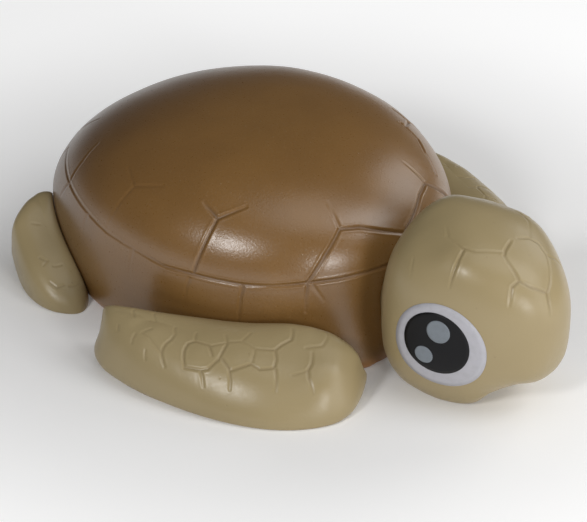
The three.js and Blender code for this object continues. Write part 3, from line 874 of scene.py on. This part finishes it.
def flipper_pair(end, form, shaping, strokes, fall):
    """The right flipper, pressed to its form and set against the flank, and its mirrored twin."""
    flipper, ways = foam_ball(f"{end}_right_paddle", FLIPPER_CUTS)
    press_points(flipper, form(ways))
    press_strokes(flipper, form, strokes, FLIPPER_CREASE_WIDTH, FLIPPER_CREASE_DEPTH)
    swell_broad(flipper, form, strokes, PILLOW_WIDTH, -PILLOW_DEPTH)
    for stroke, width, push in shaping:
        push_broad(flipper, form, [stroke], width, push)
    settle(flipper, read_points(flipper), fall)
    flipper.data.materials.append(foam)
    bpy.ops.object.duplicate()
    twin = bpy.context.object
    twin.name = f"{end}_left_paddle"
    press_points(twin, read_points(twin) * np.array([-1, 1, 1]))
    bpy.ops.object.mode_set(mode="EDIT")
    bpy.ops.mesh.select_all(action="SELECT")
    bpy.ops.mesh.normals_make_consistent(inside=False)
    bpy.ops.object.mode_set(mode="OBJECT")
    for piece, hand in ((flipper, "right"), (twin, "left")):
        hand_over(piece, "tan_foam", f"{end}_{hand}_flipper")


flipper_pair("front", front_form, FRONT_SHAPING, FRONT_CREASES, FRONT_FALL)


# Rear flippers
# Short broad paddles of the same foam at the back corners, smoother than the front ones, with a few short
# creases. They too are cast in one with the body.
REAR_LENGTH = 0.0131
REAR_WIDTH = 0.0363
REAR_THICKNESS = 0.0124
REAR_TURN = 130.6
REAR_STANDOFF = 0.0031
REAR_SWEEP = 60
REAR_TILT = 25
REAR_TAPER = 0.2
REAR_SQUARENESS = 2.78
REAR_OUTER_END = 2.6
REAR_INNER_END = 1.6
REAR_BLUNTNESS = 3.2
REAR_FALL = 0.02
REAR_CREASES = [
    [(-171.5, 66.5, 0.4), (-174, 78.5, 0.4)],
    [(136.5, 56.5, 0.5), (118.5, 61, 0.6), (126, 55, 0.4)],
    [(98, 61, 0.5), (70, 61, 0.5)],
    [(113, 46, 0.6), (99, 45.5, 0.7), (81, 48.5, 0.6)],
    [(68, 46, 0.6), (45.5, 38, 0.5)],
]
REAR_SHAPING = [
    ([(-157, 19, 0.7), (-133, 29, 0.8), (-114, 35, 0.9), (-94, 34, 0.9), (-72, 37, 1.1), (-57, 37, 1.2),
      (-40, 35, 0.9), (-25, 28, 0.4)], 0.0045, (0, 0.0002, 0.002)),
]


def rear_form(ways):
    return flipper_form(ways, REAR_LENGTH, REAR_WIDTH, REAR_THICKNESS, REAR_TURN, REAR_STANDOFF,
                        REAR_SWEEP, REAR_TILT, REAR_TAPER, 0, 0, REAR_SQUARENESS,
                        REAR_BLUNTNESS, (REAR_OUTER_END, REAR_INNER_END))


flipper_pair("rear", rear_form, REAR_SHAPING, REAR_CREASES, REAR_FALL)


# Table and light
# A plain pale table, which glows a little away from the toy and less close round it, as a painted shadow,
# and soft studio light: two smaller lights at the turtle's right and front for the highlights, four broad
# ones to fill, and a faint even surround.
TABLE_SIZE = 6
TABLE_DROP = 0.0001
TABLE_GLOW = 0.4
GLOW_REACH = (0.045, 0.13)
SURROUND = 0.06
TARGET = Vector((0, -0.009, 0.0162))

bpy.ops.object.select_all(action="DESELECT")
bpy.ops.mesh.primitive_plane_add(size=TABLE_SIZE, location=(0, 0, -TABLE_DROP))
table = bpy.context.object
table.name = "table"
TABLE_PALE = colour(244, 244, 244)
TABLE_PALER = colour(247, 247, 247)
GLOW_UNDER_PAINTED_SHADOW = (0.2, 0.2, 0.2, 1)
GLOW_FAR = (1, 1, 1, 1)
paper, shader, place = new_finish("pale_table")
feed(shader, Base_Color=place.tint(place.noise(40, 2), TABLE_PALE, TABLE_PALER))
shader.inputs["Roughness"].default_value = 0.9
shader.inputs["Specular IOR Level"].default_value = 0.1
apart = place.node("ShaderNodeVectorMath", {"operation": "LENGTH"}, {0: place}, 1)
# Painted shadow: the table glows less close round the toy.
feed(shader, Emission_Color=place.tint(apart.between(*GLOW_REACH), GLOW_UNDER_PAINTED_SHADOW, GLOW_FAR))
shader.inputs["Emission Strength"].default_value = TABLE_GLOW
table.data.materials.append(paper)

world = bpy.data.worlds.new("pale_surround")
bpy.context.scene.world = world
world.use_nodes = True
surround = world.node_tree.nodes["Background"]
surround.inputs["Color"].default_value = (1, 1, 1, 1)
surround.inputs["Strength"].default_value = SURROUND


def facing_vector(azimuth, elevation):
    """The way to an azimuth from the nose towards the turtle's left and an elevation, in degrees."""
    turn, lift = math.radians(azimuth), math.radians(elevation)
    return Vector((math.sin(turn) * math.cos(lift), -math.cos(turn) * math.cos(lift), math.sin(lift)))


def soft_light(name, azimuth, elevation, distance, size, watts):
    """A round light that faces the toy."""
    bpy.ops.object.light_add(type="AREA")
    light = bpy.context.object
    light.name = name
    light.data.shape = "DISK"
    light.data.size = size
    light.data.energy = watts
    way = facing_vector(azimuth, elevation)
    light.location = TARGET + way * distance
    light.rotation_euler = way.to_track_quat("Z", "Y").to_euler()


# Each light has its azimuth, elevation, distance, size and watts.
LIGHTS = {
    "left_light": (-78, 34, 0.6, 0.11, 0.95),
    "front_light": (-20, 14, 0.7, 0.16, 1.05),
    "nose_light": (12, 14, 0.7, 0.4, 0.85),
    "high_light": (28, 46, 0.7, 0.4, 1.2),
    "top_light": (0, 75, 0.7, 0.5, 0.7),
    "far_light": (80, 32, 0.7, 0.4, 0.85),
}
for light_name, placing in LIGHTS.items():
    soft_light(light_name, *placing)


# Camera
# It looks down on the right front of the toy, as the photograph does, and is stepped aside to frame it
# the same.
AZIMUTH = -45.95
ELEVATION = 31.04
DISTANCE = 0.471
SIDE_STEP = -0.00448
UP_STEP = -0.00711
FOCAL_SHARE = 2506.8 / 587

back = facing_vector(AZIMUTH, ELEVATION)
right = Vector((math.cos(math.radians(AZIMUTH)), math.sin(math.radians(AZIMUTH)), 0))
up = back.cross(right)
bpy.ops.object.camera_add()
camera = bpy.context.object
camera.data.sensor_fit = "HORIZONTAL"
camera.data.lens = FOCAL_SHARE * camera.data.sensor_width
spot = TARGET + back * DISTANCE + right * SIDE_STEP + up * UP_STEP
camera.matrix_world = Matrix.Translation(spot) @ Matrix((right, up, back)).transposed().to_4x4()
bpy.context.scene.camera = camera
bpy.context.scene.view_settings.view_transform = "Standard"
